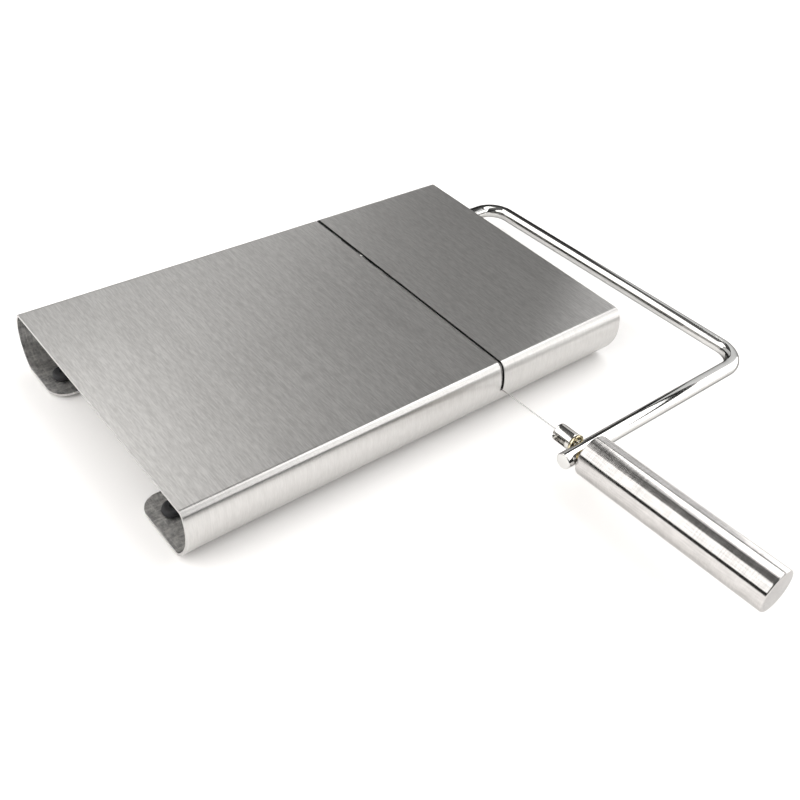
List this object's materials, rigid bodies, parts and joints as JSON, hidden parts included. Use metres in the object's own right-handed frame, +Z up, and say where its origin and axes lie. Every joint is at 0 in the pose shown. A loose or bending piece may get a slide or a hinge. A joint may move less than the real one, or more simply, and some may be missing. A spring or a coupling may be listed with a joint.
{
  "type": "cheese wire cutter",
  "caption": "Folded steel cutting board on rubber feet with a slot for a taut wire, carried by a hinged bent-rod bow with a turn-to-tighten handle.",
  "frame": {"origin": "middle of the whole cutter's footprint at rest, on the surface its feet stand on", "axes": "+X along the board towards the bow's outer leg, +Y towards the hinge side, +Z up"},
  "size_m": [0.241, 0.2484, 0.0289],
  "materials": {
    "brushed_sheet": "brushed along the depth of the board",
    "polished_rod": "polished",
    "wire_steel": "drawn, bright",
    "foot_rubber": "matt black",
    "satin_handle": "satin, turned",
    "insert_brass": "machined",
    "bracket_steel": "mill finish",
    "bush_nylon": "natural nylon",
    "ring_steel": "spring steel",
    "bolt_steel": "turned and polished",
    "washer_brass": "polished",
    "washer_steel": "plain",
    "ferrule_steel": "crimped"
  },
  "bodies": {
    "base": {"board": "brushed_sheet", "foot_front_left": "foot_rubber", "foot_front_right": "foot_rubber", "foot_back_left": "foot_rubber", "foot_back_right": "foot_rubber", "hinge_bracket_outer": "bracket_steel", "hinge_bracket_inner": "bracket_steel", "hinge_bush_outer": "bush_nylon", "hinge_bush_inner": "bush_nylon"},
    "bow": {"bow_rod": "polished_rod", "snap_ring_outer": "ring_steel", "snap_ring_inner": "ring_steel", "thrust_washer_outer": "washer_steel", "thrust_washer_inner": "washer_steel", "cutting_wire": "wire_steel", "wire_ferrule_rear": "ferrule_steel", "wire_ferrule_front": "ferrule_steel", "tension_washer": "washer_brass"},
    "bolt": {"tension_bolt": "bolt_steel"},
    "handle": {"handle_grip": "satin_handle", "handle_insert": "insert_brass"}
  },
  "joints": [
    {"name": "bow_hinge", "type": "hinge", "parent": "base", "child": "bow", "pos_m": [0.0155, 0.10961, 0.0085], "axis": [-1, 0, 0], "range_deg": [0, 155]},
    {"name": "handle_spin", "type": "hinge", "parent": "bow", "child": "handle", "pos_m": [0.0155, -0.07015, 0.01792], "axis": [0, -0.9986, 0.0523], "range_deg": [0, 540]},
    {"name": "tension_bolt_slide", "type": "slide", "parent": "bow", "child": "bolt", "axis": [0, 0.9986, -0.0523], "range_m": [0, 0.0012]}
  ],
  "couplings": [
    {"joint": "tension_bolt_slide", "follows": "handle_spin", "m_per_rad": 0.00012732}
  ]
}
